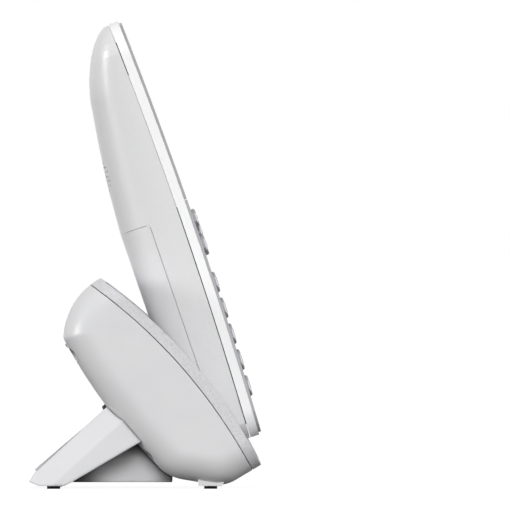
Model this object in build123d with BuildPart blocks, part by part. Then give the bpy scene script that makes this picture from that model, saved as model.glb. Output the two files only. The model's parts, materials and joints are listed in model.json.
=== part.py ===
from build123d import *
import os
from math import cos, pi, radians, sin, sqrt

# Cordless phone standing in a slanted charging base. Millimetres, +Z up.
# The phone's face looks towards -Y and the user's right hand is on +X.

os.makedirs("parts", exist_ok=True)

# ---- handset: leaning frame with s along its length and t out of its face ----
lean = 18.9                      # backward lean of the handset from vertical, degrees
heel_y, heel_z = -47.4, 23.2     # where the face starts at the lower end
foot = -1.0                      # s of the lower end
crown = 178.0                    # s of the upper end
half_foot, half_crown = 23.5, 25.0
foot_corner, crown_corner = 11.0, 14.0
face_bow = 2.1                   # height of the arched face at mid length
band = 5.2                       # face to the seam between the two shells
seam_gap = 0.35
body_depth = 28.4                # face datum to the flat back
handset_wall = 1.8
lens_thick = 1.1
taper_start, taper_end = 95.0, 147.0
taper_depth = 22.9
taper_bulge = 0.75               # how far the tapered back swells beyond a straight line
nose_depth = 5.0
heel_radius = 6.5
barrel_power = 2 / 2.7           # superellipse section of the back

# ---- keys ----
key_wide, key_long, key_corner = 11.6, 8.7, 3.2
key_pitch_x, key_pitch_s = 14.2, 11.1
top_row_s = 63.9
key_proud, side_key_proud = 1.1, 1.6
key_gap = 0.3
flange_top, flange_bottom, flange_lip = -3.0, -3.9, 0.7
ring_s, ring_radius, ring_bore, ring_proud = 85.2, 8.7, 3.8, 1.6
select_radius, select_proud = 3.3, 1.1
earpiece_s, microphone_s = 166.5, 6.5
vent_s, vent_hole, vent_row, vent_column = 119.0, 0.62, 1.9, 1.1
window_low, window_high, window_half = 113.0, 153.0, 19.2

# ---- battery door ----
door_top = 94.8
door_split = -15.7               # t of the door's side edges
door_gap = 0.15
door_wall = 1.6
door_slide = 4.0

# ---- base: slanted frame with u up along it and n out of its cover ----
slant = 49.1
lip_y, lip_z = -47.4, 9.8
base_half = 50.0
base_long = 100.6                # from the front lip to the top of the cover
cover_arch = 6.3                 # height of the cover's arch at mid length
base_wall = 2.0
base_corner = 12.0
cover_gap = 0.3
well_gap = 0.5
well_wall = 1.8
panel_recess = 0.8
panel_thick = 2.0
rim = 2.5

# ---- stand ----
stand_half, web_half = 45.0, 30.0
arm_top_half, arm_ridge = 40.5, 8.6   # the arm narrows above a ridge this far below its slope
stand_wall = 2.2
pad_height = 1.2

beyond = 20.0                    # longer than any cut through a thin wall needs
reach = 60.0                     # half width of a block that reaches past both sides

up_slope = Vector(0, sin(radians(lean)), cos(radians(lean)))
face_out = Vector(0, -cos(radians(lean)), sin(radians(lean)))
heel_point = Vector(0, heel_y, heel_z)
handset_plane = Plane(origin=heel_point, x_dir=(1, 0, 0), z_dir=face_out)
handset_side = Plane(origin=heel_point, x_dir=up_slope, z_dir=(1, 0, 0))

base_up = Vector(0, cos(radians(slant)), sin(radians(slant)))
cover_out = Vector(0, -sin(radians(slant)), cos(radians(slant)))
lip_point = Vector(0, lip_y, lip_z)
base_plane = Plane(origin=lip_point, x_dir=(1, 0, 0), z_dir=cover_out)
base_side = Plane(origin=lip_point, x_dir=base_up, z_dir=(1, 0, 0))


def save(part, name):
    """Label one finished piece and write it."""
    part.label = name
    export_step(part, f"parts/{name}.step")


# ---------------------------------------------------------------- handset shapes
def face(s):
    """Height of the arched face above the straight datum."""
    return face_bow * (1 - ((2 * s - crown) / crown) ** 2)


def face_slope(s):
    """Rise of the arched face per millimetre of length."""
    return -4 * face_bow * (2 * s - crown) / crown ** 2


def half_width(s):
    """Half the handset's width, with its rounded corners."""
    half = half_foot + (half_crown - half_foot) * s / crown
    from_foot = min(max(s - foot, 0), foot_corner)
    from_crown = min(max(crown - s, 0), crown_corner)
    half -= foot_corner - sqrt(foot_corner ** 2 - (foot_corner - from_foot) ** 2)
    half -= crown_corner - sqrt(crown_corner ** 2 - (crown_corner - from_crown) ** 2)
    return half


def back_depth(s):
    """Depth of the back below the datum: rounded heel, flat, taper, rounded crown."""
    if s < foot + heel_radius:
        rise = max(foot + heel_radius - s, 0)
        rise = min(rise, heel_radius)
        return body_depth - heel_radius + sqrt(heel_radius ** 2 - rise ** 2)
    if s <= taper_start:
        return body_depth
    if s <= taper_end:
        way = (s - taper_start) / (taper_end - taper_start)
        return body_depth + (taper_depth - body_depth) * way + taper_bulge * sin(pi * way)
    way = (s - taper_end) / (crown - taper_end)
    return nose_depth + (taper_depth - nose_depth) * (1 - way ** 1.4) ** 0.565


def barrel_points(across, deep):
    """Points of a full, round-shouldered half section, from one side to the other."""
    points = [(across, 0)]
    for step in range(1, 12):
        turn = pi * step / 12
        side = 1 if cos(turn) > 0 else -1
        x = side * across * abs(cos(turn)) ** barrel_power
        points.append((x, deep * sin(turn) ** barrel_power))
    points.append((-across, 0))
    return points


def rear_hull(inset, last, lift=0.0):
    """Barrel-shaped rear of the handset, shrunk by inset, from the foot to last."""
    first = foot + inset
    stations = [foot + heel_radius * (1 - cos(radians(a))) for a in range(0, 91, 10)]
    stations += [20, 40, 60, 78]
    taper_run = taper_end - taper_start
    stations += [taper_start + taper_run * step / 8 for step in range(9)]
    crown_run = crown - taper_end
    stations += [taper_end + crown_run * sin(radians(a)) for a in range(6, 79, 6)]
    cuts = [first] + [s for s in stations if first + 0.1 < s < last - 0.5] + [last]
    with BuildPart() as hull:
        for s in cuts:
            front = face(s) - band + lift
            across = half_width(s) - inset
            deep = back_depth(s) - inset + front
            start = handset_side.from_local_coords(Vector(s, front, 0))
            with BuildSketch(Plane(origin=start, x_dir=(1, 0, 0), z_dir=up_slope)):
                rim_points = barrel_points(across, deep)
                with BuildLine():
                    Spline(*rim_points)
                    Line(rim_points[-1], rim_points[0])
                make_face()
        loft(ruled=True)
    return hull.part


def face_outline(inset, low=-90.0, high=270.0):
    """Front view of the handset shrunk by inset, cut off at low and high."""
    with BuildSketch() as outline:
        with BuildLine():
            ends = [(-half_foot, foot), (half_foot, foot)]
            ends += [(half_crown, crown), (-half_crown, crown)]
            corners = [foot_corner, foot_corner, crown_corner, crown_corner]
            FilletPolyline(*ends, radius=corners, close=True)
        make_face()
        if inset:
            offset(amount=-inset, kind=Kind.INTERSECTION)
        with Locations((0, (low + high) / 2)):
            Rectangle(2 * reach, high - low, mode=Mode.INTERSECT)
    return outline.sketch


def bowed_slab(low, high):
    """Everything between two heights above the arched face."""
    with BuildPart() as slab:
        with BuildSketch(handset_side):
            with BuildLine():
                lower = [(s, face(s) + low) for s in (-beyond, crown / 2, crown + beyond)]
                upper = [(s, face(s) + high) for s in (-beyond, crown / 2, crown + beyond)]
                ThreePointArc(*lower)
                Line(lower[2], upper[2])
                ThreePointArc(*upper)
                Line(upper[0], lower[0])
            make_face()
        extrude(amount=reach, both=True)
    return slab.part


def face_plane(s, x=0.0):
    """Plane lying on the arched face at one place, looking outward."""
    here = handset_side.from_local_coords(Vector(s, face(s), 0)) + Vector(x, 0, 0)
    return Plane(origin=here, x_dir=(1, 0, 0), z_dir=face_out - up_slope * face_slope(s))


def back_plane(s):
    """Plane lying on the handset's tapered back, looking outward."""
    here = handset_side.from_local_coords(Vector(s, -back_depth(s), 0))
    fall = back_depth(s - 1) - back_depth(s + 1)
    return Plane(origin=here, x_dir=(1, 0, 0), z_dir=up_slope * fall / 2 - face_out)


# ---------------------------------------------------------------- key layout
def key_rows():
    """Name, place and size of each press key: (name, x, s, wide, long, corner, proud)."""
    names = [["key_1", "key_2", "key_3"], ["key_4", "key_5", "key_6"],
             ["key_7", "key_8", "key_9"], ["key_star", "key_0", "key_pound"],
             ["speaker_key", "redial_key", "hold_key"]]
    rows = []
    for row, row_names in enumerate(names):
        for column, name in enumerate(row_names):
            x = (column - 1) * key_pitch_x
            s = top_row_s - row * key_pitch_s
            rows.append((name, x, s, key_wide, key_long, key_corner, key_proud))
    for side, soft, call in ((-1, "soft_key_left", "talk_key"), (1, "soft_key_right", "off_key")):
        rows.append((soft, side * 16.8, 91.5, 9.4, 7.6, 2.6, side_key_proud))
        rows.append((call, side * 16.8, 80.1, 9.4, 9.2, 3.4, side_key_proud))
    return rows


press_keys = key_rows()

for name, x, s, wide, long, corner, proud in press_keys:
    with BuildPart() as key:
        with BuildSketch(face_plane(s, x).offset(flange_top)):
            RectangleRounded(wide, long, corner)
        extrude(amount=proud - flange_top)
        crest = key.faces().sort_by(Axis(heel_point, face_out))[-1]
        fillet(crest.edges(), radius=0.8)
        with BuildSketch(face_plane(s, x).offset(flange_bottom)):
            RectangleRounded(wide + 2 * flange_lip, long + 2 * flange_lip, corner)
        extrude(amount=flange_top - flange_bottom)
    save(key.part, name)

# Navigation ring: rocks about a line across the handset, round a middle key.
ring_flange_top, ring_flange_bottom = -3.4, -4.3
with BuildPart() as navigation_ring:
    with BuildSketch(face_plane(ring_s).offset(ring_flange_top)):
        Circle(ring_radius)
        Circle(ring_bore, mode=Mode.SUBTRACT)
    extrude(amount=ring_proud - ring_flange_top)
    crest = navigation_ring.faces().sort_by(Axis(heel_point, face_out))[-1]
    fillet(crest.edges(), radius=0.9)
    with BuildSketch(face_plane(ring_s).offset(ring_flange_bottom)):
        Circle(ring_radius + flange_lip)
        Circle(ring_bore, mode=Mode.SUBTRACT)
    extrude(amount=ring_flange_top - ring_flange_bottom)
save(navigation_ring.part, "navigation_ring")

with BuildPart() as select_key:
    with BuildSketch(face_plane(ring_s).offset(flange_bottom)):
        Circle(select_radius)
    extrude(amount=select_proud - flange_bottom)
    crest = select_key.faces().sort_by(Axis(heel_point, face_out))[-1]
    fillet(crest.edges(), radius=0.6)
save(select_key.part, "select_key")

# ---------------------------------------------------------------- handset front
with BuildPart() as key_openings:
    for name, x, s, wide, long, corner, proud in press_keys:
        with BuildSketch(face_plane(s, x).offset(-8)):
            RectangleRounded(wide + 2 * key_gap, long + 2 * key_gap, corner + key_gap)
        extrude(amount=12)
    with BuildSketch(face_plane(ring_s).offset(-8)):
        Circle(ring_radius + 0.4)
    extrude(amount=12)

def curved_layer(outline, slab):
    """Outline seen from the front, carried through a layer that follows the arched face."""
    with BuildPart() as layer:
        with BuildSketch(under_face):
            add(outline)
        extrude(amount=beyond)
        add(slab, mode=Mode.INTERSECT)
    return layer.part


under_face = handset_plane.offset(-12)
front_block = curved_layer(face_outline(0), bowed_slab(seam_gap - band, -lens_thick))
front_cavity = curved_layer(face_outline(handset_wall), bowed_slab(-12, -lens_thick - handset_wall))

with BuildPart() as window_hole:
    with BuildSketch(under_face):
        with Locations((0, (window_low + window_high) / 2)):
            RectangleRounded(2 * window_half, window_high - window_low, 1.5)
    extrude(amount=beyond)

with BuildPart() as earpiece_slot:
    with BuildSketch(under_face):
        with Locations((0, earpiece_s)):
            SlotOverall(13, 2.2)
    extrude(amount=beyond)

with BuildPart() as microphone_hole:
    with BuildSketch(under_face):
        with Locations((0, microphone_s)):
            SlotOverall(4.4, 1.6)
    extrude(amount=beyond)

front_shell = front_block - front_cavity - key_openings.part
front_shell = front_shell - window_hole.part - earpiece_slot.part - microphone_hole.part
save(front_shell, "handset_front_shell")

# Key plate below and display lens above, side by side on the arched face.
plate_layer = bowed_slab(-lens_thick, 0)
plate_inset, plate_top, lens_low = 1.0, 99.6, 99.9
key_plate = curved_layer(face_outline(plate_inset, -beyond, plate_top), plate_layer)
key_plate = key_plate - key_openings.part - microphone_hole.part
save(key_plate, "key_plate")
display_lens = curved_layer(face_outline(plate_inset, lens_low, crown + beyond), plate_layer)
save(display_lens - earpiece_slot.part, "display_lens")

with BuildPart() as display_panel:
    with BuildSketch(face_plane((window_low + window_high) / 2).offset(-4.4)):
        Rectangle(2 * window_half - 1.4, window_high - window_low - 2)
    extrude(amount=2.9)
save(display_panel.part, "display_panel")

# One rubber mat under all the keys, on a flat circuit board.
keypad_mat = curved_layer(face_outline(3.2, 9, 98), bowed_slab(-5.6, -4.85))
save(keypad_mat, "keypad_mat")

board_top = -5.7
with BuildPart() as handset_board:
    with BuildSketch(handset_plane.offset(board_top - 1.0)):
        with Locations((0, 80)):
            RectangleRounded(39, 144, 3)
    extrude(amount=1.0)
save(handset_board.part, "handset_board")

with BuildPart() as earpiece_speaker:
    with BuildSketch(face_plane(163).offset(-6.0)):
        Circle(7.2)
    extrude(amount=2.8)
    with BuildSketch(face_plane(163).offset(-7.2)):
        Circle(4.5)
    extrude(amount=1.2)
save(earpiece_speaker.part, "earpiece_speaker")

with BuildPart() as handset_microphone:
    with BuildSketch(face_plane(microphone_s).offset(-5.6)):
        Circle(2.0)
    extrude(amount=2.4)
save(handset_microphone.part, "handset_microphone")

# ---------------------------------------------------------------- handset rear
hull_last = taper_end + (crown - taper_end) * sin(radians(78))
outer_hull = rear_hull(0, hull_last)
inner_hull = rear_hull(handset_wall, hull_last - handset_wall, lift=1.0)
door_inner_hull = rear_hull(door_wall, hull_last - door_wall, lift=1.0)


def side_block(low, high, deep, shallow, half, corner=0.0):
    """Block across the handset between two places along it and two depths."""
    with BuildPart() as block:
        with BuildSketch(handset_side):
            with Locations(((low + high) / 2, (deep + shallow) / 2)):
                Rectangle(high - low, shallow - deep)
        extrude(amount=half, both=True)
        if corner:
            across = block.edges().filter_by(Axis.X)
            fillet(across.sort_by(Axis(heel_point, up_slope))[-2:], radius=corner)
    return block.part


# Battery bay: a floor behind the board, a wall above the door and four walls round the cells.
floor_top, floor_low = -12.5, -14.0
door_corner, wall_high = 1.5, door_top + 2.6
door_cut = side_block(-beyond, door_top, -reach, door_split, reach, door_corner)
door_body = side_block(-beyond, door_top - door_gap, -reach, door_split - door_gap, reach, door_corner)
floor_plate = side_block(foot, wall_high, floor_low, floor_top, reach) & outer_hull
end_wall = side_block(door_top + 1.2, wall_high, -reach, floor_top, reach) & outer_hull
battery_low, battery_high, battery_t = 27.0, 77.0, -20.4
bay_wall, bay_deep, bay_half, rail_half = 1.5, -22.5, 14.0, 0.7
battery_walls = side_block(battery_low - bay_wall, battery_low, bay_deep, floor_top, bay_half)
battery_walls += side_block(battery_high, battery_high + bay_wall, bay_deep, floor_top, bay_half)
for side in (-1, 1):
    rail = side_block(battery_low - bay_wall, battery_high + bay_wall, bay_deep, floor_top, rail_half)
    battery_walls += rail.moved(Location((side * (bay_half - rail_half), 0, 0)))

# Staggered sound holes over the ringer; the outer rows are shorter.
with BuildPart() as vent_holes:
    with BuildSketch(back_plane(vent_s).offset(-6)):
        for row in range(-3, 4):
            last_column = 11 if abs(row) < 3 else 8
            for column in range(-last_column, last_column + 1):
                if (row + column) % 2 == 0:
                    with Locations((column * vent_column, row * vent_row)):
                        Circle(vent_hole)
    extrude(amount=12)

# Charging contacts in the lower end, seen square to the handset's length.
end_plane = Plane(handset_plane.origin, x_dir=(1, 0, 0), z_dir=up_slope)
contact_x, contact_depth = (-9.0, 9.0), 11.0
contact_places = [(x, contact_depth) for x in contact_x]
with BuildPart() as contact_slots:
    with BuildSketch(end_plane):
        with Locations(*contact_places):
            Rectangle(5, 7)
    extrude(amount=6, both=True)

with BuildPart() as handset_charge_contacts:
    with BuildSketch(end_plane.offset(foot + 0.3)):
        with Locations(*contact_places):
            Rectangle(5, 7)
    extrude(amount=0.6)
save(handset_charge_contacts.part, "handset_charge_contacts")

# Four screws from behind hold the two halves of the handset together.
screw_places = [(x, s) for x in (-17.0, 17.0) for s in (14.0, 88.0)]
post_low, post_high = floor_top, -7.0
with BuildPart() as rear_posts:
    with BuildSketch(handset_plane.offset(post_low - 0.5)):
        with Locations(*screw_places):
            Circle(2.6)
    extrude(amount=post_high - post_low + 0.5)
with BuildPart() as post_bores:
    with BuildSketch(handset_plane.offset(floor_low - 1)):
        with Locations(*screw_places):
            Circle(1.1)
    extrude(amount=post_high - floor_low + 2)
with BuildPart() as handset_screws:
    with BuildSketch(handset_plane.offset(floor_low - 1.2)):
        with Locations(*screw_places):
            Circle(1.9)
            RegularPolygon(0.8, 6, mode=Mode.SUBTRACT)
    extrude(amount=1.1)
    with BuildSketch(handset_plane.offset(floor_low - 0.3)):
        with Locations(*screw_places):
            Circle(1.0)
    extrude(amount=7.0)
save(handset_screws.part, "handset_screws")

rear_shell = outer_hull - inner_hull
rear_shell = rear_shell - door_cut
rear_shell = rear_shell + floor_plate + end_wall + battery_walls + rear_posts.part
rear_shell = rear_shell - contact_slots.part - vent_holes.part - post_bores.part
save(rear_shell, "handset_rear_shell")

door_shell = (outer_hull - door_inner_hull) & door_body
save(door_shell, "battery_door")

# Two cells side by side, each with its cap end up, between plate contacts.
cell_radius, cell_long, cap_radius, cell_x = 5.2, 43.0, 1.9, (-5.6, 5.6)
cell_low = battery_low + 3
cell_places = [(x, -battery_t) for x in cell_x]
with BuildPart() as battery_pack:
    with BuildSketch(end_plane.offset(cell_low)):
        with Locations(*cell_places):
            Circle(cell_radius)
    extrude(amount=cell_long)
    with BuildSketch(end_plane.offset(cell_low + cell_long)):
        with Locations(*cell_places):
            Circle(cap_radius)
    extrude(amount=1.0)
save(battery_pack.part, "battery_pack")

with BuildPart() as battery_contacts:
    for place in (battery_low + 0.1, battery_high - 0.7):
        with BuildSketch(end_plane.offset(place)):
            with Locations(*cell_places):
                Rectangle(8, 8)
        extrude(amount=0.6)
save(battery_contacts.part, "battery_contacts")

with BuildPart() as ringer_speaker:
    with BuildSketch(back_plane(vent_s).offset(-9.0)):
        Circle(12)
    extrude(amount=4.4)
save(ringer_speaker.part, "ringer_speaker")

with BuildPart() as handset_antenna:
    with BuildSketch(handset_plane.offset(-8.6)):
        with Locations((14, 158)):
            Rectangle(3, 20)
        with Locations((4, earpiece_s)):
            Rectangle(23, 3)
    extrude(amount=0.8)
save(handset_antenna.part, "handset_antenna")

# ---------------------------------------------------------------- base shapes
back_top = (92.0, -27.2)         # where the rounded top of the back meets its long straight run


def base_hull(inset):
    """Outer form of the base, cover and body together, shrunk by inset."""
    with BuildPart() as hull:
        with BuildSketch(base_side) as hull_sketch:
            with BuildLine():
                ThreePointArc((0, 0), (base_long / 2, cover_arch), (base_long, 0))
                ThreePointArc((base_long, 0), (100.5, -12.3), back_top)
                back = ThreePointArc(back_top, (62.2, -31.9), (36, -32.5))
                FilletPolyline(back @ 1, back @ 1 + back % 1 * 15, (3.0, -17.0), (0, 0),
                               radius=[17, 14])
            make_face()
            heel_corner = hull_sketch.vertices().sort_by_distance((*back_top, 0))[0]
            fillet(heel_corner, radius=4)
            if inset:
                offset(amount=-inset, kind=Kind.INTERSECTION)
        extrude(amount=base_half - inset, both=True)
        sides = hull.faces().sort_by(Axis.X)
        rim_edges = sides[0].edges() + sides[-1].edges()
        lower_rim = [e for e in rim_edges if base_plane.to_local_coords(e.center()).Z < 0.5]
        fillet(lower_rim, radius=base_corner - inset)
    return hull.part


def above_arc(start, middle, stop):
    """Everything on the cover's side of an arc drawn on the base's side view."""
    with BuildPart() as region:
        with BuildSketch(base_side):
            with BuildLine():
                ThreePointArc(start, middle, stop)
                Polyline(stop, (stop[0], 40), (start[0], 40), start)
            make_face()
        extrude(amount=reach, both=True)
    return region.part


base_envelope = base_hull(0)
seam_arc = [(-3, -4.7), (50, 1.8), (104, -5.0)]
split_region = above_arc(*seam_arc)
body_region = above_arc(*[(u, n - cover_gap) for u, n in seam_arc])
recess_arc = [(0, 0), (base_long / 2, cover_arch), (base_long, 0)]
recess_region = above_arc(*[(u, n - panel_recess) for u, n in recess_arc])

# Well for the handset: barrel-backed section drawn square to the handset's length,
# with straight sides up and out of the cover. The door's part of the floor is deeper.
ledge_s, pocket_s = foot - well_gap, foot - door_slide - 0.6
section_top = -3.4


def well_form(gap, low):
    """Well for the handset, with a gap all round it, from low upwards."""
    across = half_foot + 0.6 + gap
    deep = body_depth + section_top + gap
    start = handset_side.from_local_coords(Vector(low, section_top, 0))
    with BuildPart() as form:
        with BuildSketch(Plane(origin=start, x_dir=(1, 0, 0), z_dir=up_slope)):
            with BuildLine():
                Spline(*barrel_points(across, deep))
                Polyline((-across, 0), (-across, -30), (across, -30), (across, 0))
            make_face()
        extrude(amount=taper_start - low)
    return form.part


ledge = side_block(-40, ledge_s, door_split + 0.6, 60, 60)
ledge_under = side_block(-40, ledge_s - well_wall, door_split + 0.6 + well_wall, 60, 60)
well_space = well_form(well_gap, pocket_s) - ledge
liner_solid = well_form(well_gap + well_wall, pocket_s - 1.6) - ledge_under

# ---------------------------------------------------------------- base cover
with BuildPart() as panel_outline:
    with BuildSketch(base_plane.offset(-20)):
        with Locations((0, base_long / 2)):
            RectangleRounded(2 * (base_half - rim), base_long - 2 * rim, base_corner - rim)
    extrude(amount=50)

find_x, find_u = 37.0, 23.5
light_u = 38.5
with BuildPart() as panel_holes:
    with BuildSketch(base_plane.offset(-6)):
        with Locations((find_x, find_u)):
            RectangleRounded(13.6, 8.6, 3.3)
        with Locations((find_x, light_u)):
            SlotOverall(7.4, 2.4)
    extrude(amount=20)

boss_places = [(x, u) for x in (-40, 40) for u in (33, 84)]
with BuildPart() as cover_bosses:
    with BuildSketch(base_plane.offset(-9.0)):
        with Locations(*boss_places):
            Circle(3.3)
    extrude(amount=20)
with BuildPart() as pilot_holes:
    with BuildSketch(base_plane.offset(-9.5)):
        with Locations(*boss_places):
            Circle(1.45)
    extrude(amount=9.0)

inner_cover = base_hull(panel_recess + panel_thick)
top_cover = (base_envelope & split_region) - inner_cover
top_cover = top_cover - (recess_region & panel_outline.part)
bosses = cover_bosses.part & base_hull(panel_recess + 0.5)
top_cover = top_cover + bosses + (liner_solid & (base_envelope - recess_region))
top_cover = top_cover - well_space - panel_holes.part - pilot_holes.part

with BuildPart() as floor_slots:
    with BuildSketch(end_plane):
        with Locations(*contact_places):
            Rectangle(4.4, 4.8)
    extrude(amount=9, both=True)
top_cover = top_cover - floor_slots.part
save(top_cover, "base_top_cover")

with BuildPart() as find_handset_key:
    with BuildSketch(base_plane.offset(1.0)):
        with Locations((find_x, find_u)):
            RectangleRounded(13.0, 8.0, 3.0)
    extrude(amount=3.9)
    fillet(find_handset_key.faces().sort_by(Axis(lip_point, cover_out))[-1].edges(), radius=0.6)
save(find_handset_key.part, "find_handset_key")

with BuildPart() as status_light:
    with BuildSketch(base_plane.offset(1.5)):
        with Locations((find_x, light_u)):
            SlotOverall(7.0, 2.0)
    extrude(amount=4.0)
save(status_light.part, "status_light")

# ---------------------------------------------------------------- base body
with BuildPart() as body_posts:
    with BuildSketch(base_plane.offset(-40)):
        with Locations(*boss_places):
            Circle(4.4)
    extrude(amount=40 - 9.1)
with BuildPart() as screw_holes:
    with BuildSketch(base_plane.offset(-45)):
        with Locations(*boss_places):
            Circle(1.6)
    extrude(amount=45 - 8.5)
    with BuildSketch(base_plane.offset(-45)):
        with Locations(*boss_places):
            Circle(3.1)
    extrude(amount=45 - 13.0)

with BuildPart() as front_boss:
    with BuildSketch(Plane.YZ):
        Polygon((-32.6, 3.4), (-31.6, pad_height), (-22.0, pad_height), (-21.4, 4.6),
                (-27, 8), align=None)
    extrude(amount=10, both=True)
front_bosses = front_boss.part.moved(Location((33, 0, 0))) + front_boss.part.moved(Location((-33, 0, 0)))

jack_u, jack_mouth, jack_deep = 68.0, -30.0, 14.0
jack_x = {"phone_line_jack": 14.0, "power_jack": -14.0}
with BuildPart() as jack_windows:
    with BuildSketch(base_plane.offset(-36)):
        for x in jack_x.values():
            with Locations((x, jack_u)):
                Rectangle(13.4, 12.4)
    extrude(amount=12)

tab_low, tab_high = 44.0, 55.0
with BuildPart() as tab_slots:
    with BuildSketch(base_plane.offset(-38)):
        for side in (-1, 1):
            with Locations((side * (web_half - 1), (tab_low + tab_high) / 2)):
                Rectangle(2.6, tab_high - tab_low + 0.6)
    extrude(amount=12)

# Low rib across the back, where its rounded top ends.
with BuildPart() as back_rib:
    with BuildSketch(base_side):
        with Locations((88.6, -27.6)):
            RectangleRounded(2.0, 1.9, 0.5)
    extrude(amount=base_half - base_corner - 2, both=True)

lower_shell = (base_envelope - body_region) - base_hull(base_wall)
lower_shell = lower_shell + (body_posts.part & (base_envelope - body_region)) + front_bosses
lower_shell = lower_shell - (front_bosses & base_hull(base_wall))
lower_shell = lower_shell - screw_holes.part - jack_windows.part - tab_slots.part + back_rib.part
save(lower_shell, "base_lower_shell")

with BuildPart() as base_screws:
    with BuildSketch(base_plane.offset(-15.4)):
        with Locations(*boss_places):
            Circle(2.8)
            RegularPolygon(1.1, 6, mode=Mode.SUBTRACT)
    extrude(amount=2.3)
    with BuildSketch(base_plane.offset(-13.6)):
        with Locations(*boss_places):
            Circle(1.4)
    extrude(amount=11.6)
save(base_screws.part, "base_screws")

with BuildPart() as base_board:
    with BuildSketch(base_plane.offset(-26.0)):
        with Locations((0, 53.5)):
            Rectangle(68, 49)
        for x in jack_x.values():
            with Locations((x, jack_u + 4)):
                Rectangle(13.6, 20.6, mode=Mode.SUBTRACT)
    extrude(amount=1.5)
save(base_board.part, "base_board")

with BuildPart() as base_antenna:
    with BuildSketch(base_plane.offset(-24.4)):
        with Locations((30, 60)):
            Rectangle(1.0, 26)
    extrude(amount=6)
save(base_antenna.part, "base_antenna")

with BuildPart() as phone_line_jack:
    with BuildSketch(base_plane.offset(jack_mouth)):
        with Locations((jack_x["phone_line_jack"], jack_u)):
            Rectangle(13, 12)
            Rectangle(9.8, 7.0, mode=Mode.SUBTRACT)
            with Locations((0, 4.0)):
                Rectangle(4.0, 1.6, mode=Mode.SUBTRACT)
    extrude(amount=jack_deep - 2)
    with BuildSketch(base_plane.offset(jack_mouth + jack_deep - 2)):
        with Locations((jack_x["phone_line_jack"], jack_u)):
            Rectangle(13, 12)
    extrude(amount=2)
save(phone_line_jack.part, "phone_line_jack")

with BuildPart() as power_jack:
    with BuildSketch(base_plane.offset(jack_mouth)):
        with Locations((jack_x["power_jack"], jack_u)):
            Rectangle(11, 12)
            Circle(3.1, mode=Mode.SUBTRACT)
            Circle(0.9)
    extrude(amount=jack_deep - 4)
    with BuildSketch(base_plane.offset(jack_mouth + jack_deep - 4)):
        with Locations((jack_x["power_jack"], jack_u)):
            Rectangle(11, 12)
    extrude(amount=2)
save(power_jack.part, "power_jack")

with BuildPart() as base_charge_contacts:
    for x in contact_x:
        with BuildSketch(handset_side.offset(x)):
            with BuildLine():
                Polyline((foot - 0.2, -9.6), (foot - 0.2, -10.4), (foot - 7.0, -10.6),
                         (foot - 7.0, -12.2), (foot - 0.4, -12.6), (foot - 0.2, -12.4),
                         (foot - 0.2, -9.6))
            make_face()
        extrude(amount=2, both=True)
save(base_charge_contacts.part, "base_charge_contacts")

# ---------------------------------------------------------------- stand
slope_start, slope_end = (15.6, 33.4), (45.2, 6.4)
slope_plane = Plane(origin=(0, *slope_start), x_dir=(1, 0, 0),
                    z_dir=(0, slope_start[1] - slope_end[1], slope_end[0] - slope_start[0]))
slope_side = Plane(origin=(0, *slope_start), x_dir=slope_plane.y_dir, z_dir=(1, 0, 0))
slope_end_on = Plane(origin=(0, *slope_start), x_dir=(1, 0, 0), z_dir=slope_plane.y_dir)
strut_points = [(4, 38), (12, 36.7), slope_start, slope_end, (47.3, 2.9), (43.2, pad_height),
                (32.8, pad_height), (29.7, 2.8), (22.6, 7.0), (2.9, 18.6), (-5, 23.3)]
web_points = [(-11, 2.6), (30, 2.6), (33, pad_height + 0.4), (40, 6), (12, 32), (-5, 30), (-11, 16)]



def arm_section(inset):
    """End view of the arm: narrow along its slope, full width below a ridge."""
    top_half, full_half = arm_top_half - inset, stand_half - inset
    ridge = arm_ridge + inset / 2
    with BuildPart() as section:
        with BuildSketch(slope_end_on):
            Polygon((-top_half, 0), (-full_half, ridge), (-full_half, reach), (full_half, reach),
                    (full_half, ridge), (top_half, 0), align=None)
        extrude(amount=reach, both=True)
    return section.part


with BuildPart() as strut:
    with BuildSketch(Plane.YZ):
        Polygon(*strut_points, align=None)
    extrude(amount=stand_half, both=True)

with BuildPart() as web:
    with BuildSketch(Plane.YZ):
        Polygon(*web_points, align=None)
    extrude(amount=web_half, both=True)

with BuildPart() as strut_core:
    with BuildSketch(Plane.YZ):
        Polygon(*strut_points, align=None)
        offset(amount=-stand_wall, kind=Kind.INTERSECTION)
    extrude(amount=stand_half - stand_wall, both=True)

with BuildPart() as web_core:
    with BuildSketch(Plane.YZ):
        Polygon((-9, 4.4), (31, 4.4), (40, 6), (12, 32), (-5, 30), (-9, 16), align=None)
        Polygon(*strut_points, align=None, mode=Mode.SUBTRACT)
    extrude(amount=web_half - 2, both=True)

with BuildPart() as web_sides:
    for side in (-1, 1):
        with BuildSketch(Plane.YZ.offset(side * (web_half - 1))):
            Polygon(*strut_points, align=None)
            offset(amount=-0.5, kind=Kind.INTERSECTION)
        extrude(amount=1, both=True)

# Wedge-shaped wall plate, flush at its upper end, and a latch lug at the top of the slope.
with BuildPart() as raised_plate:
    with BuildSketch(slope_side):
        Polygon((13.5, -1.0), (13.5, 0.05), (39.0, 0.95), (39.0, -1.0), align=None)
    extrude(amount=28, both=True)
    with BuildSketch(slope_side):
        Polygon((-3.0, -1.5), (-3.0, 1.4), (1.8, 1.4), (2.6, -1.5), align=None)
    extrude(amount=9, both=True)

with BuildPart() as keyholes:
    with BuildSketch(slope_plane.offset(-6)):
        for side in (-1, 1):
            with Locations((side * 20.0, 14.0)):
                SlotCenterToCenter(10, 4.4, rotation=90)
            with Locations((side * 20.0, 21.0)):
                Circle(4.5)
    extrude(amount=12)

with BuildPart() as tabs:
    with BuildSketch(base_plane.offset(-36.5)):
        for side in (-1, 1):
            with Locations((side * (web_half - 1), (tab_low + tab_high) / 2)):
                Rectangle(2.0, tab_high - tab_low)
    extrude(amount=36.5 - 28.8)

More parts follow.
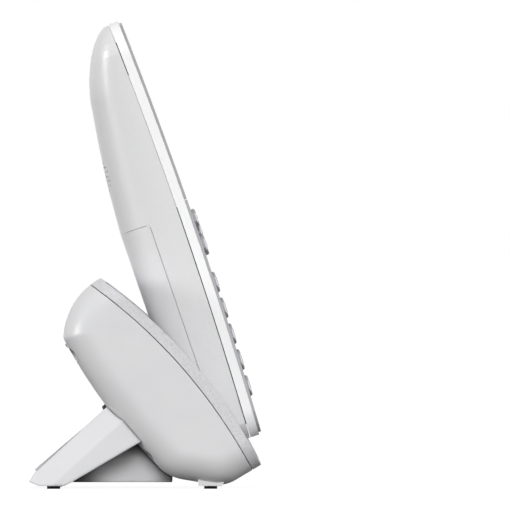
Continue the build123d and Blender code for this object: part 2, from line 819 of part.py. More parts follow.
stand_clear = base_hull(-0.3)
arm_core = strut_core.part & arm_section(stand_wall)
arm = (strut.part & arm_section(0)) - arm_core
stand = arm + (web.part - strut.part) + web_sides.part
stand = stand - web_core.part + raised_plate.part - keyholes.part
stand = (stand - stand_clear) + tabs.part
save(stand, "stand_bracket")


def foot_pads(y, x):
    """Pair of small rubber feet."""
    with BuildPart() as pads:
        with BuildSketch(Plane.XY):
            with Locations((-x, y), (x, y)):
                RectangleRounded(10, 5.3, 0.8)
        extrude(amount=pad_height)
    return pads.part


save(foot_pads(37.3, 36), "rear_feet")
save(foot_pads(-26.8, 33), "front_feet")
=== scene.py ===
import json
import math

import bpy
from mathutils import Matrix, Vector


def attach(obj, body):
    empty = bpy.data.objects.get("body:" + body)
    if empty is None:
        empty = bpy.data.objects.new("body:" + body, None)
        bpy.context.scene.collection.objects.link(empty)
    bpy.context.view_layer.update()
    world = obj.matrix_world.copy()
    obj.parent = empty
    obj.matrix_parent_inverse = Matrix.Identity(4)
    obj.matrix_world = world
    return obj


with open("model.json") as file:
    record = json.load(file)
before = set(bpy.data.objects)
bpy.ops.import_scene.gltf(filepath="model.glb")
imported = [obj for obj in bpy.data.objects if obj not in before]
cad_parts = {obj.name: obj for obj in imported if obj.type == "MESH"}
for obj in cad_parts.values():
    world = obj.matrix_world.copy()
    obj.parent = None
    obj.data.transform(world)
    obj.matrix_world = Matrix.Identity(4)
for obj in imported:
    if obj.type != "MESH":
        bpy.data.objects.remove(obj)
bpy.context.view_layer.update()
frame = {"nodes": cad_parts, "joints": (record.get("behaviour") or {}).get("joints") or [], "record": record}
nodes = frame["nodes"]
joints = {joint["name"]: joint for joint in frame["joints"]}
print("frame loaded,", len(nodes), "nodes")

across = Vector((1, 0, 0))
upHandset = Vector(joints["handset_lift"]["axis"]).normalized()
outBase = -Vector(joints["find_key_press"]["axis"]).normalized()


def hexLinear(code):  # sRGB hex to the linear colour a socket wants
    channels = [int(code[i:i + 2], 16) / 255 for i in (0, 2, 4)]
    linear = [c / 12.92 if c <= 0.04045 else ((c + 0.055) / 1.055) ** 2.4 for c in channels]
    return (*linear, 1.0)


def addNode(tree, kind, settings=None, inputs=None):  # a value sets an input, a socket is linked to it
    node = tree.nodes.new(kind)
    for name, value in (settings or {}).items():
        setattr(node, name, value)
    for name, value in (inputs or {}).items():
        if isinstance(value, bpy.types.NodeSocket):
            tree.links.new(value, node.inputs[name])
        else:
            node.inputs[name].default_value = value
    return node


def startMaterial(name):  # patterns sit on the object's own coordinates
    material = bpy.data.materials.new(name)
    material.use_nodes = True
    tree = material.node_tree
    tree.nodes.clear()
    where = addNode(tree, "ShaderNodeTexCoord")
    return material, tree, where.outputs["Object"]


def endMaterial(tree, surface):
    addNode(tree, "ShaderNodeOutputMaterial", None, {"Surface": surface})


def perMillimetre(size):  # texture scale for features of this size in mm, on coordinates in metres
    return 1000.0 / size


relief = {"bevelSamples": 4, "bumpStrength": 0.4}
spread = {"smoother": 0.05, "rougher": 0.06}  # how far a moulded surface's roughness wanders


def roundedNormal(tree, height, look):  # fine bump over an edge softened by a small radius
    edge = addNode(tree, "ShaderNodeBevel", {"samples": relief["bevelSamples"]},
                   {"Radius": look["edge"] / 1000})
    bump = addNode(tree, "ShaderNodeBump", None,
                   {"Height": height, "Strength": relief["bumpStrength"], "Distance": look["bump"] / 1000,
                    "Normal": edge.outputs["Normal"]})
    return bump.outputs["Normal"]


# Injection-moulded ABS from a spark-eroded tool: even pale grey, a dull grain that only just shows.
bodyAbs = {"name": "moulded ABS, pale grey", "colour": "DBDBDC", "deep": "D3D3D5", "grain": 0.7,
           "cloud": 14.0, "bump": 0.012, "edge": 0.4, "roughness": 0.36, "coat": 0.12, "paintedShadeReach": 0}
# The same ABS from a smoother tool: a shade paler, with painted shade darkening the colour in its closed-in
# corners.
standAbs = {"name": "moulded ABS, paler grey", "colour": "DFDFE1", "deep": "D9D9DB", "grain": 0.6,
            "cloud": 12.0, "bump": 0.008, "edge": 1.6, "roughness": 0.34, "coat": 0.0, "paintedShadeReach": 9.0}
# Highly polished white ABS: a clean, wet-looking gloss.
bezelAbs = {"name": "polished white ABS", "colour": "F8F8F8", "deep": "F2F2F3", "grain": 0.9,
            "cloud": 20.0, "bump": 0.002, "edge": 0.3, "roughness": 0.16, "coat": 0.5, "paintedShadeReach": 0}
# Black filled nylon of the sockets and speakers: dull, a little dusty.
darkNylon = {"name": "black moulded nylon", "colour": "17171A", "deep": "0F0F11", "grain": 0.5,
             "cloud": 6.0, "bump": 0.02, "edge": 0.2, "roughness": 0.55, "coat": 0.0, "paintedShadeReach": 0}


# painted shade in closed-in corners: occlusion samples, the occlusion range it fades over, and its darkest
# colour factor
cornerShade = {"samples": 16, "closed": 0.33, "open": 0.66, "darkest": 0.02}


def mouldedPlastic(look):
    material, tree, place = startMaterial(look["name"])
    cloud = addNode(tree, "ShaderNodeTexNoise", None,
                    {"Vector": place, "Scale": perMillimetre(look["cloud"]), "Detail": 2.0})
    grain = addNode(tree, "ShaderNodeTexNoise", None,
                    {"Vector": place, "Scale": perMillimetre(look["grain"]), "Detail": 3.0})
    tint = addNode(tree, "ShaderNodeMix", {"data_type": "RGBA"},
                   {0: cloud.outputs["Fac"], 6: hexLinear(look["colour"]), 7: hexLinear(look["deep"])})
    colour = tint.outputs[2]
    if look["paintedShadeReach"]:  # painted shade: corners closed in within this many mm are darkened in the colour by an occlusion node
        openness = addNode(tree, "ShaderNodeAmbientOcclusion", {"samples": cornerShade["samples"]},
                           {"Distance": look["paintedShadeReach"] / 1000})
        deep = addNode(tree, "ShaderNodeMapRange", {"interpolation_type": "SMOOTHSTEP"},
                       {"Value": openness.outputs["AO"], "From Min": cornerShade["closed"],
                        "From Max": cornerShade["open"], "To Min": cornerShade["darkest"]})
        shaded = addNode(tree, "ShaderNodeMix", {"data_type": "RGBA", "blend_type": "MULTIPLY"},
                         {0: 1.0, 6: colour, 7: deep.outputs["Result"]})
        colour = shaded.outputs[2]
    rough = addNode(tree, "ShaderNodeMapRange", None,
                    {"Value": grain.outputs["Fac"], "To Min": look["roughness"] - spread["smoother"],
                     "To Max": look["roughness"] + spread["rougher"]})
    shader = addNode(tree, "ShaderNodeBsdfPrincipled", None,
                     {"Base Color": colour, "Roughness": rough.outputs["Result"],
                      "Normal": roundedNormal(tree, grain.outputs["Fac"], look), "IOR": 1.53,
                      "Coat Weight": look["coat"], "Coat Roughness": 0.06})
    endMaterial(tree, shader.outputs["BSDF"])
    return material


# Silver-grey lacquer with fine aluminium flakes. They are near 0.05 mm and drawn at 0.4 mm so that they show
# on the cover; on the handset they all but vanish.
coverLacquer = {"name": "flaked lacquer, cover", "colour": "D4D4D6", "flake": "C2C2C6", "flakeSize": 0.4,
                "share": 0.62, "orange": 3.0, "bump": 0.01, "edge": 0.3, "roughness": 0.36, "glitter": 0.08,
                "coatRough": 0.22}
rearLacquer = {"name": "flaked lacquer, handset", "colour": "DEDEDF", "flake": "DADADB", "flakeSize": 0.4,
               "share": 0.7, "orange": 3.0, "bump": 0.002, "edge": 0.3, "roughness": 0.38, "glitter": 0.01,
               "coatRough": 0.30}


def flakedLacquer(look):
    material, tree, place = startMaterial(look["name"])
    flake = addNode(tree, "ShaderNodeTexVoronoi", {"feature": "F1"},
                    {"Vector": place, "Scale": perMillimetre(look["flakeSize"])})
    orange = addNode(tree, "ShaderNodeTexNoise", None,  # the soft ripple that sprayed lacquer dries to
                     {"Vector": place, "Scale": perMillimetre(look["orange"]), "Detail": 2.0})
    random = addNode(tree, "ShaderNodeSeparateColor", None, {"Color": flake.outputs["Color"]})
    amount = addNode(tree, "ShaderNodeMapRange", None,
                     {"Value": random.outputs["Red"], "From Min": look["share"], "From Max": 1.0})
    tint = addNode(tree, "ShaderNodeMix", {"data_type": "RGBA"},
                   {0: amount.outputs["Result"], 6: hexLinear(look["colour"]), 7: hexLinear(look["flake"])})
    rough = addNode(tree, "ShaderNodeMapRange", None,
                    {"Value": random.outputs["Green"], "To Min": look["roughness"] - look["glitter"],
                     "To Max": look["roughness"] + look["glitter"]})
    shader = addNode(tree, "ShaderNodeBsdfPrincipled", None,
                     {"Base Color": tint.outputs[2], "Roughness": rough.outputs["Result"],
                      "Normal": roundedNormal(tree, orange.outputs["Fac"], look), "IOR": 1.5,
                      "Metallic": 0.06, "Coat Weight": 0.35, "Coat Roughness": look["coatRough"]})
    endMaterial(tree, shader.outputs["BSDF"])
    return material


# Silver paint under clear lacquer: darker than the shells, and bright where it turns to the light.
keyPaint = {"name": "silver painted keys", "colour": "B4B4B7", "spark": "9C9CA0", "grain": 0.35,
            "bump": 0.004, "edge": 0.35, "roughness": 0.24, "metallic": 0.55, "coat": 0.9}
platePaint = {"name": "satin silver plate", "colour": "BDBDC0", "spark": "AFAFB3", "grain": 0.3,
              "bump": 0.004, "edge": 0.2, "roughness": 0.36, "metallic": 0.35, "coat": 0.3}
lensPrint = {"name": "grey print behind clear acrylic", "colour": "A9A9AC", "spark": "A0A0A4", "grain": 0.5,
             "bump": 0.001, "edge": 0.2, "roughness": 0.10, "metallic": 0.1, "coat": 1.0}


def silverPaint(look, windowMask=None):
    material, tree, place = startMaterial(look["name"])
    grain = addNode(tree, "ShaderNodeTexNoise", None,
                    {"Vector": place, "Scale": perMillimetre(look["grain"]), "Detail": 2.0})
    tint = addNode(tree, "ShaderNodeMix", {"data_type": "RGBA"},
                   {0: grain.outputs["Fac"], 6: hexLinear(look["colour"]), 7: hexLinear(look["spark"])})
    rough = addNode(tree, "ShaderNodeMapRange", None,
                    {"Value": grain.outputs["Fac"], "To Min": look["roughness"] - 0.04,
                     "To Max": look["roughness"] + 0.06})
    shader = addNode(tree, "ShaderNodeBsdfPrincipled", None,
                     {"Base Color": tint.outputs[2], "Roughness": rough.outputs["Result"],
                      "Normal": roundedNormal(tree, grain.outputs["Fac"], look), "IOR": 1.5,
                      "Metallic": look["metallic"], "Coat Weight": look["coat"], "Coat Roughness": 0.05})
    surface = shader.outputs["BSDF"]
    if windowMask:
        surface = windowMask(tree, place, surface)
    endMaterial(tree, surface)
    return material


def extent(name, way):  # how far a node reaches along a direction, in metres
    reach = [vertex.co.dot(way) for vertex in nodes[name].data.vertices]
    return min(reach), max(reach)


panelLow, panelHigh = extent("display_panel", upHandset)
panelLeft, panelRight = extent("display_panel", across)
window = {"margin": -0.0012, "softness": 0.0001, "tint": "F4F6F4", "polish": 0.03, "headOn": 0.04}


def clearWindow(tree, place, printed):  # the print stops round the display, where the acrylic is clear
    along = addNode(tree, "ShaderNodeVectorMath", {"operation": "DOT_PRODUCT"},
                    {0: place, 1: tuple(upHandset)})
    side = addNode(tree, "ShaderNodeSeparateXYZ", None, {"Vector": place})
    middle = (panelLow + panelHigh) / 2
    fromMiddle = addNode(tree, "ShaderNodeMath", {"operation": "SUBTRACT"},
                         {0: along.outputs["Value"], 1: middle})
    high = addNode(tree, "ShaderNodeMath", {"operation": "ABSOLUTE"}, {0: fromMiddle.outputs[0]})
    wide = addNode(tree, "ShaderNodeMath", {"operation": "ABSOLUTE"}, {0: side.outputs["X"]})
    overHigh = addNode(tree, "ShaderNodeMath", {"operation": "SUBTRACT"},
                       {0: high.outputs[0], 1: (panelHigh - panelLow) / 2 + window["margin"]})
    overWide = addNode(tree, "ShaderNodeMath", {"operation": "SUBTRACT"},
                       {0: wide.outputs[0], 1: (panelRight - panelLeft) / 2 + window["margin"]})
    over = addNode(tree, "ShaderNodeMath", {"operation": "MAXIMUM"},
                   {0: overHigh.outputs[0], 1: overWide.outputs[0]})
    isPrint = addNode(tree, "ShaderNodeMapRange", None,
                      {"Value": over.outputs[0], "From Min": 0.0, "From Max": window["softness"]})
    clear = addNode(tree, "ShaderNodeBsdfTransparent", None, {"Color": hexLinear(window["tint"])})
    gloss = addNode(tree, "ShaderNodeBsdfGlossy", None,
                    {"Color": (1, 1, 1, 1), "Roughness": window["polish"]})
    slant = addNode(tree, "ShaderNodeLayerWeight", None, {"Blend": 0.5})
    fifth = addNode(tree, "ShaderNodeMath", {"operation": "POWER"}, {0: slant.outputs["Facing"], 1: 5.0})
    mirrored = addNode(tree, "ShaderNodeMapRange", None,  # acrylic mirrors 4 % head on and all at a graze
                       {"Value": fifth.outputs[0], "To Min": window["headOn"], "To Max": 1.0})
    pane = addNode(tree, "ShaderNodeMixShader", None,
                   {0: mirrored.outputs["Result"], 1: clear.outputs["BSDF"], 2: gloss.outputs["BSDF"]})
    both = addNode(tree, "ShaderNodeMixShader", None,
                   {0: isPrint.outputs["Result"], 1: pane.outputs["Shader"], 2: printed})
    return both.outputs["Shader"]


# Nitrile rubber: dead black with a faint grey bloom.
rubberLook = {"name": "black rubber", "colour": "0E0E0F", "bloom": "1B1B1D", "grain": 0.6, "bump": 0.03,
              "edge": 0.2, "roughness": 0.8}


def rubber(look):
    material, tree, place = startMaterial(look["name"])
    grain = addNode(tree, "ShaderNodeTexNoise", None,
                    {"Vector": place, "Scale": perMillimetre(look["grain"]), "Detail": 4.0})
    tint = addNode(tree, "ShaderNodeMix", {"data_type": "RGBA"},
                   {0: grain.outputs["Fac"], 6: hexLinear(look["colour"]), 7: hexLinear(look["bloom"])})
    shader = addNode(tree, "ShaderNodeBsdfPrincipled", None,
                     {"Base Color": tint.outputs[2], "Roughness": look["roughness"], "IOR": 1.52,
                      "Normal": roundedNormal(tree, grain.outputs["Fac"], look)})
    endMaterial(tree, shader.outputs["BSDF"])
    return material


# Drawn, formed and plated metals: nickel is warm and bright, tin soft and grey, zinc a cooler grey.
plating = {"shade": "9A9A9A", "along": 0.12, "smoother": 0.1, "rougher": 0.12}
nickel = {"name": "nickel-plated spring steel", "colour": "C9C3B6", "brush": 0.15, "roughness": 0.22}
tin = {"name": "tinned steel", "colour": "BFC1C4", "brush": 0.4, "roughness": 0.38}
zinc = {"name": "zinc-plated steel", "colour": "B4B6B9", "brush": 0.25, "roughness": 0.33}


def platedMetal(look):  # drawn and plated: fine streaks in the gloss
    material, tree, place = startMaterial(look["name"])
    stretch = addNode(tree, "ShaderNodeMapping", None,
                      {"Vector": place, "Scale": (1.0, plating["along"], plating["along"])})
    streak = addNode(tree, "ShaderNodeTexNoise", None,
                     {"Vector": stretch.outputs["Vector"], "Scale": perMillimetre(look["brush"]),
                      "Detail": 2.0})
    rough = addNode(tree, "ShaderNodeMapRange", None,
                    {"Value": streak.outputs["Fac"], "To Min": look["roughness"] - plating["smoother"],
                     "To Max": look["roughness"] + plating["rougher"]})
    shade = addNode(tree, "ShaderNodeMix", {"data_type": "RGBA"},
                    {0: streak.outputs["Fac"], 6: hexLinear(look["colour"]), 7: hexLinear(plating["shade"])})
    shader = addNode(tree, "ShaderNodeBsdfPrincipled", None,
                     {"Base Color": shade.outputs[2], "Metallic": 1.0, "Roughness": rough.outputs["Result"]})
    endMaterial(tree, shader.outputs["BSDF"])
    return material


# Glass epoxy under green solder resist: glossy, with paler runs where the copper lies.
resist = {"name": "green solder resist on glass epoxy", "colour": "14492C", "track": "1F6B3D", "pitch": 1.6,
          "run": 0.12, "raised": 0.03, "strength": 0.3, "roughness": 0.28}


def circuitBoard(look):
    material, tree, place = startMaterial(look["name"])
    tracks = addNode(tree, "ShaderNodeTexVoronoi", {"feature": "DISTANCE_TO_EDGE"},
                     {"Vector": place, "Scale": perMillimetre(look["pitch"])})
    run = addNode(tree, "ShaderNodeMath", {"operation": "LESS_THAN"},
                  {0: tracks.outputs["Distance"], 1: look["run"]})
    tint = addNode(tree, "ShaderNodeMix", {"data_type": "RGBA"},
                   {0: run.outputs[0], 6: hexLinear(look["colour"]), 7: hexLinear(look["track"])})
    bump = addNode(tree, "ShaderNodeBump", None,
                   {"Height": run.outputs[0], "Strength": look["strength"],
                    "Distance": look["raised"] / 1000})
    shader = addNode(tree, "ShaderNodeBsdfPrincipled", None,
                     {"Base Color": tint.outputs[2], "Roughness": look["roughness"],
                      "Normal": bump.outputs["Normal"],
                      "IOR": 1.55})
    endMaterial(tree, shader.outputs["BSDF"])
    return material


# Liquid crystal behind glass: a flat grey-green with the faint square grid of its electrodes.
crystal = {"name": "liquid crystal glass", "colour": "AEB6A6", "cell": "A6AE9E", "cellSize": 0.33}


def liquidCrystal(look):
    material, tree, place = startMaterial(look["name"])
    squared = addNode(tree, "ShaderNodeMapping", {"vector_type": "POINT"},
                      {"Vector": place, "Rotation": (math.asin(upHandset.y), 0.0, 0.0)})
    cells = addNode(tree, "ShaderNodeTexBrick", {"offset": 0.0},
                    {"Vector": squared.outputs["Vector"], "Scale": perMillimetre(look["cellSize"]),
                     "Color1": hexLinear(look["colour"]), "Color2": hexLinear(look["colour"]),
                     "Mortar": hexLinear(look["cell"]), "Mortar Size": 0.06, "Brick Width": 1.0,
                     "Row Height": 1.0})
    shader = addNode(tree, "ShaderNodeBsdfPrincipled", None,
                     {"Base Color": cells.outputs["Color"], "Roughness": 0.3, "IOR": 1.52})
    endMaterial(tree, shader.outputs["BSDF"])
    return material


# Printed shrink film: glossy green with a pale band round each cell.
wrap = {"name": "shrink film on the cells", "colour": "2F6B45", "band": "D8D8D4", "bandEvery": 21.0,
        "bandShare": 0.3}


def shrinkFilm(look):
    material, tree, place = startMaterial(look["name"])
    along = addNode(tree, "ShaderNodeVectorMath", {"operation": "DOT_PRODUCT"},
                    {0: place, 1: tuple(upHandset)})
    turn = addNode(tree, "ShaderNodeMath", {"operation": "MULTIPLY"},
                   {0: along.outputs["Value"], 1: perMillimetre(look["bandEvery"])})
    part = addNode(tree, "ShaderNodeMath", {"operation": "FRACT"}, {0: turn.outputs[0]})
    isBand = addNode(tree, "ShaderNodeMath", {"operation": "LESS_THAN"},
                     {0: part.outputs[0], 1: look["bandShare"]})
    tint = addNode(tree, "ShaderNodeMix", {"data_type": "RGBA"},
                   {0: isBand.outputs[0], 6: hexLinear(look["colour"]), 7: hexLinear(look["band"])})
    shader = addNode(tree, "ShaderNodeBsdfPrincipled", None,
                     {"Base Color": tint.outputs[2], "Roughness": 0.2, "IOR": 1.5})
    endMaterial(tree, shader.outputs["BSDF"])
    return material


# Frosted acrylic: milky, and a little light passes through it.
frosted = {"name": "frosted acrylic light guide", "colour": "C9D6C9", "haze": 0.4}


def frostedAcrylic(look):
    material, tree, place = startMaterial(look["name"])
    haze = addNode(tree, "ShaderNodeTexNoise", None, {"Vector": place, "Scale": perMillimetre(look["haze"])})
    rough = addNode(tree, "ShaderNodeMapRange", None,
                    {"Value": haze.outputs["Fac"], "To Min": 0.35, "To Max": 0.55})
    shader = addNode(tree, "ShaderNodeBsdfPrincipled", None,
                     {"Base Color": hexLinear(look["colour"]), "Roughness": rough.outputs["Result"],
                      "IOR": 1.49, "Transmission Weight": 0.35})
    endMaterial(tree, shader.outputs["BSDF"])
    return material


# Pad-printed ink on the keys, and the dark cells of the display: flat, with no sheen of their own.
ink = {"name": "dark grey pad-printed ink", "colour": "3A3A3E", "deep": "323236", "grain": 0.2, "cloud": 2.0,
       "bump": 0.002, "edge": 0.05, "roughness": 0.45, "coat": 0.0, "paintedShadeReach": 0}
segmentInk = {"name": "dark liquid crystal segments", "colour": "33382F", "deep": "2C3129", "grain": 0.2,
              "cloud": 2.0, "bump": 0.001, "edge": 0.05, "roughness": 0.35, "coat": 0.0, "paintedShadeReach": 0}

finishes = {
    "base_plastic": mouldedPlastic(bodyAbs), "stand_plastic": mouldedPlastic(standAbs),
    "bezel_plastic": mouldedPlastic(bezelAbs), "dark_plastic": mouldedPlastic(darkNylon),
    "cover_plastic": flakedLacquer(coverLacquer), "rear_plastic": flakedLacquer(rearLacquer),
    "key_plastic": silverPaint(keyPaint), "key_plate_metal": silverPaint(platePaint),
    "lens_plastic": silverPaint(lensPrint, clearWindow), "display_glass": liquidCrystal(crystal),
    "mat_rubber": rubber(rubberLook), "foot_rubber": rubber(rubberLook),
    "circuit_board": circuitBoard(resist), "tinned_metal": platedMetal(tin),
    "contact_metal": platedMetal(nickel), "screw_steel": platedMetal(zinc),
    "clear_lens": frostedAcrylic(frosted), "battery_wrap": shrinkFilm(wrap),
}
finishes["door_plastic"] = finishes["rear_plastic"]
finishes["base_key"] = finishes["key_plastic"]
inkFinish = mouldedPlastic(ink)
segmentFinish = mouldedPlastic(segmentInk)

for part in frame["record"]["subparts"]:
    mesh = nodes[part["node"]].data
    mesh.materials.clear()
    mesh.materials.append(finishes[part["material_slot"]])
print("finishes given to the CAD nodes")


def topOf(name, normal):  # a flat place on top of a node: its axes, and the middle as its origin
    along = normal.cross(across)
    left, right = extent(name, across)
    low, high = extent(name, along)
    over = extent(name, normal)[1]
    middle = across * (left + right) / 2 + along * (low + high) / 2 + normal * over
    place = Matrix((across, along, normal)).transposed().to_4x4()
    place.translation = middle
    return place


def addPiece(name, points, faces, finish, body):
    mesh = bpy.data.meshes.new(name)
    mesh.from_pydata([tuple(point) for point in points], [], faces)
    mesh.update()
    mesh.materials.append(finish)
    piece = bpy.data.objects.new(name, mesh)
    bpy.context.scene.collection.objects.link(piece)
    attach(piece, body)
    return piece


def prisms(place, outlines, low, high):  # each outline, in mm on the place, becomes a thin raised shape
    points, faces = [], []
    for outline in outlines:
        first, count = len(points), len(outline)
        for height in (low, high):
            points += [place @ (Vector((x, y, height)) / 1000) for x, y in outline]
        faces.append([first + i for i in reversed(range(count))])
        faces.append([first + count + i for i in range(count)])
        for i in range(count):
            j = (i + 1) % count
            faces.append([first + i, first + j, first + count + j, first + count + i])
    return points, faces


def bandOutline(radius, width, start, end, centre=(0, 0), steps=10):  # part of a ring
    turns = [math.radians(start + (end - start) * i / steps) for i in range(steps + 1)]
    outer = [(centre[0] + (radius + width / 2) * math.cos(t), centre[1] + (radius + width / 2) * math.sin(t))
             for t in turns]
    inner = [(centre[0] + (radius - width / 2) * math.cos(t), centre[1] + (radius - width / 2) * math.sin(t))
             for t in reversed(turns)]
    return outer + inner


def boxOutline(x, y, wide, high):
    return [(x - wide / 2, y - high / 2), (x + wide / 2, y - high / 2),
            (x + wide / 2, y + high / 2), (x - wide / 2, y + high / 2)]


def turned(outline, angle, shift=(0, 0)):
    c, s = math.cos(math.radians(angle)), math.sin(math.radians(angle))
    return [(x * c - y * s + shift[0], x * s + y * c + shift[1]) for x, y in outline]


legend = {"size": 5.4, "thick": 0.03, "sunk": 0.02}
characters = {"key_" + digit: digit for digit in "1234567890"}
characters["key_star"] = "*"
characters["key_pound"] = "#"


def printCharacter(node, character):  # one raised character in the middle of a key
    place = topOf(node, -Vector(joints[node + "_press"]["axis"]).normalized())
    curve = bpy.data.curves.new(node + "_legend", "FONT")
    curve.body = character
    curve.size = legend["size"] / 1000
    curve.extrude = legend["thick"] / 1000
    curve.align_x = "CENTER"
    curve.resolution_u = 4
    source = bpy.data.objects.new("source", curve)
    bpy.context.scene.collection.objects.link(source)
    bpy.context.view_layer.update()
    mesh = bpy.data.meshes.new_from_object(source.evaluated_get(bpy.context.evaluated_depsgraph_get()))
    bpy.data.objects.remove(source)
    lows = [min(v.co[i] for v in mesh.vertices) for i in (0, 1)]
    highs = [max(v.co[i] for v in mesh.vertices) for i in (0, 1)]
    points = [place @ (v.co - Vector(((lows[0] + highs[0]) / 2, (lows[1] + highs[1]) / 2, 0)))
              for v in mesh.vertices]
    faces = [list(face.vertices) for face in mesh.polygons]
    bpy.data.meshes.remove(mesh)
    return addPiece(node + "_legend", points, faces, inkFinish, node)


for node, character in characters.items():
    printCharacter(node, character)

earpieceMark = [bandOutline(2.6, 0.9, 205, 335), boxOutline(-2.35, -1.0, 1.3, 1.1),
                boxOutline(2.35, -1.0, 1.3, 1.1)]
glyphs = {
    "talk_key": [turned(outline, 135) for outline in earpieceMark],
    "off_key": [turned(outline, 180, (0, -1.4)) for outline in earpieceMark],
    "soft_key_left": [boxOutline(0, 0, 3.0, 0.6)],
    "soft_key_right": [boxOutline(0, 0, 3.0, 0.6)],
    "speaker_key": [[(-2.2, -0.6), (-1.2, -0.6), (0, -1.7), (0, 1.7), (-1.2, 0.6), (-2.2, 0.6)],
                    bandOutline(1.5, 0.4, -45, 45), bandOutline(2.5, 0.4, -45, 45)],
    "redial_key": [bandOutline(1.6, 0.5, 40, 330), [(1.9, 0.5), (2.3, 2.0), (0.5, 1.2)]],
    "hold_key": [boxOutline(-0.8, 0, 0.7, 3.0), boxOutline(0.8, 0, 0.7, 3.0)],
}
for node, outlines in glyphs.items():
    place = topOf(node, -Vector(joints[node + "_press"]["axis"]).normalized())
    points, faces = prisms(place, outlines, -legend["sunk"], legend["thick"])
    addPiece(node + "_mark", points, faces, inkFinish, node)

arrow = [(-0.9, 5.7), (0.9, 5.7), (0, 7.0)]
ringPlace = topOf("navigation_ring", -Vector(joints["select_key_press"]["axis"]).normalized())
points, faces = prisms(ringPlace, [turned(arrow, angle) for angle in (0, 90, 180, 270)],
                       -legend["sunk"], legend["thick"])
addPiece("navigation_ring_arrows", points, faces, inkFinish, "navigation_ring")

findPlace = topOf("find_handset_key", outBase)
points, faces = prisms(findPlace, [bandOutline(0.35, 0.7, 0, 350), bandOutline(1.5, 0.4, -40, 40),
                                   bandOutline(1.5, 0.4, 140, 220), bandOutline(2.5, 0.4, -40, 40),
                                   bandOutline(2.5, 0.4, 140, 220)], -legend["sunk"], legend["thick"])
addPiece("find_key_mark", points, faces, inkFinish, "find_key")
print("legends printed")

# Clock segments, a battery sign and signal bars on the display.
clockDigit = {"wide": 4.6, "high": 9.0, "bar": 0.9, "gap": 0.12, "pitch": 7.0, "base": 3.0}
segmentBars = {"a": (0, 1, 1), "g": (0, 0, 1), "d": (0, -1, 1), "f": (-1, 0.5, 0), "b": (1, 0.5, 0),
               "e": (-1, -0.5, 0), "c": (1, -0.5, 0)}
segmentsOf = {"0": "abcdef", "1": "bc", "2": "abged"}


def segmentOutline(mark, shift):  # one bar with pointed ends, lying or standing
    x, y, lying = segmentBars[mark]
    long = (clockDigit["wide"] if lying else clockDigit["high"] / 2) / 2 - clockDigit["gap"]
    half = clockDigit["bar"] / 2
    bar = [(-long, 0), (-long + half, -half), (long - half, -half), (long, 0), (long - half, half),
           (-long + half, half)]
    middle = (x * clockDigit["wide"] / 2 + shift, y * clockDigit["high"] / 2 + clockDigit["base"])
    return turned(bar, 0 if lying else 90, middle)


panelNormal = Vector((0, -upHandset.z, upHandset.y))
displayOut = max((face.normal.copy() for face in nodes["display_panel"].data.polygons),
                 key=lambda normal: normal.dot(panelNormal))
displayPlace = topOf("display_panel", displayOut)
clockMarks = []
for character, shift in zip("1200", (-1.6, -0.6, 0.6, 1.6)):
    clockMarks += [segmentOutline(mark, shift * clockDigit["pitch"]) for mark in segmentsOf[character]]
clockMarks += [boxOutline(0, clockDigit["base"] + side * 2.0, 0.9, 0.9) for side in (-1, 1)]
clockMarks += [boxOutline(-13.5 + 1.2 * i, 13.0 + 0.35 * i, 0.7, 1.4 + 0.7 * i) for i in range(4)]
clockMarks += [boxOutline(12.6, 13.5, 4.2, 2.2), boxOutline(15.0, 13.5, 0.5, 1.0)]
clockMarks += [boxOutline(x, -13.0, 8.0, 0.5) for x in (-11.0, 11.0)]
points, faces = prisms(displayPlace, clockMarks, -legend["sunk"], 0.05)
addPiece("display_segments", points, faces, segmentFinish, "handset")
print("display drawn")


# The set is seen square from its left side, from far away, so that near and far edges line up.
view = {"middleY": -44.9, "middleZ": 95.4, "distance": 8.0, "wide": 209.1}

camera = bpy.data.objects.new("camera", bpy.data.cameras.new("camera"))
bpy.context.scene.collection.objects.link(camera)
camera.location = (-view["distance"], view["middleY"] / 1000, view["middleZ"] / 1000)
camera.rotation_euler = (math.radians(90), 0, math.radians(-90))
camera.data.lens = camera.data.sensor_width * view["distance"] / (view["wide"] / 1000)
camera.data.clip_end = 100.0
bpy.context.scene.camera = camera

studio = {"sky": "FFFFFF", "horizon": 1.0, "overhead": 0.62, "matt": 0.48, "under": 0.12,
          "fadeFrom": -0.05, "fadeTo": -0.35}

world = bpy.data.worlds.new("studio")
world.use_nodes = True
sky = world.node_tree
background = sky.nodes["Background"]
direction = addNode(sky, "ShaderNodeTexCoord")
height = addNode(sky, "ShaderNodeSeparateXYZ", None, {"Vector": direction.outputs["Generated"]})
glow = addNode(sky, "ShaderNodeMapRange", {"interpolation_type": "SMOOTHSTEP"},
               {"Value": height.outputs["Z"], "From Min": studio["fadeTo"], "From Max": studio["fadeFrom"],
                "To Min": studio["under"], "To Max": studio["horizon"]})
fall = addNode(sky, "ShaderNodeMapRange", None,
               {"Value": height.outputs["Z"], "From Min": 0.02, "To Min": 1.0, "To Max": studio["overhead"]})
level = addNode(sky, "ShaderNodeMath", {"operation": "MULTIPLY"},
                {0: glow.outputs["Result"], 1: fall.outputs["Result"]})
ray = addNode(sky, "ShaderNodeLightPath")
dimmed = addNode(sky, "ShaderNodeMapRange", None,  # the backdrop stays white, while it lights matt faces less
                 {"Value": ray.outputs["Is Diffuse Ray"], "To Min": 1.0, "To Max": studio["matt"]})
strength = addNode(sky, "ShaderNodeMath", {"operation": "MULTIPLY"},
                   {0: level.outputs[0], 1: dimmed.outputs["Result"]})
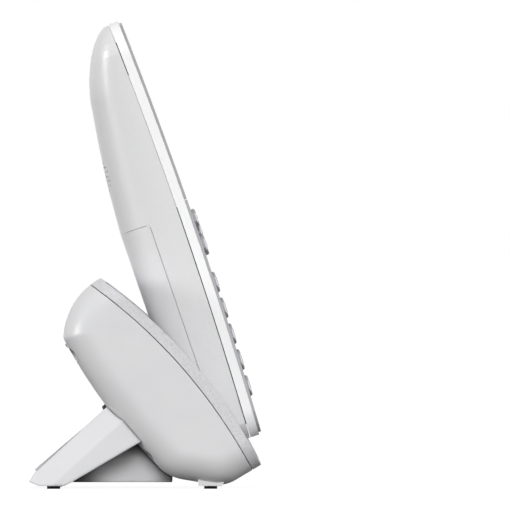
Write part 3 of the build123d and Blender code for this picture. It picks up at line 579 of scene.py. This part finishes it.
background.inputs["Color"].default_value = hexLinear(studio["sky"])
sky.links.new(strength.outputs[0], background.inputs["Strength"])
bpy.context.scene.world = world
bpy.context.scene.view_settings.view_transform = "Standard"

# Soft suns: from the left side, from behind and a little from the front.
lamps = [
    {"name": "side", "from": (-1.0, 0.0, 0.45), "strength": 1.65, "angle": 25, "mirrored": False},
    {"name": "back", "from": (-0.45, 1.0, 0.05), "strength": 1.6, "angle": 25, "mirrored": True},
    {"name": "front", "from": (-0.3, -1.0, 0.3), "strength": 1.1, "angle": 50, "mirrored": True},
]
for lamp in lamps:
    sun = bpy.data.objects.new(lamp["name"], bpy.data.lights.new(lamp["name"], "SUN"))
    sun.data.energy = lamp["strength"]
    sun.data.angle = math.radians(lamp["angle"])
    sun.visible_glossy = lamp["mirrored"]
    sun.rotation_euler = Vector(lamp["from"]).to_track_quat("Z", "Y").to_euler()
    bpy.context.scene.collection.objects.link(sun)

floorLook = {"size": 60, "fibre": 400.0, "backlit": 0.85, "glow": 1.1}

bpy.ops.mesh.primitive_plane_add(size=floorLook["size"])
floor = bpy.context.object
floor.name = "floor"
floor.visible_diffuse = False   # pale paper that throws little light back up
floor.visible_glossy = False
paper, tree, place = startMaterial("pale paper")
fibre = addNode(tree, "ShaderNodeTexNoise", None,
                {"Vector": place, "Scale": perMillimetre(floorLook["fibre"])})
shade = addNode(tree, "ShaderNodeMix", {"data_type": "RGBA"},
                {0: fibre.outputs["Fac"], 6: hexLinear("FFFFFF"), 7: hexLinear("FBFBFB")})
sheet = addNode(tree, "ShaderNodeBsdfDiffuse", None, {"Color": shade.outputs[2]})
lit = addNode(tree, "ShaderNodeEmission", None, {"Color": hexLinear("FFFFFF"), "Strength": floorLook["glow"]})
backlit = addNode(tree, "ShaderNodeMixShader", None,  # a lit table, so shadows on it stay faint
                  {0: floorLook["backlit"], 1: sheet.outputs["BSDF"], 2: lit.outputs["Emission"]})
endMaterial(tree, backlit.outputs["Shader"])
floor.data.materials.append(paper)
print("camera, light and floor set")
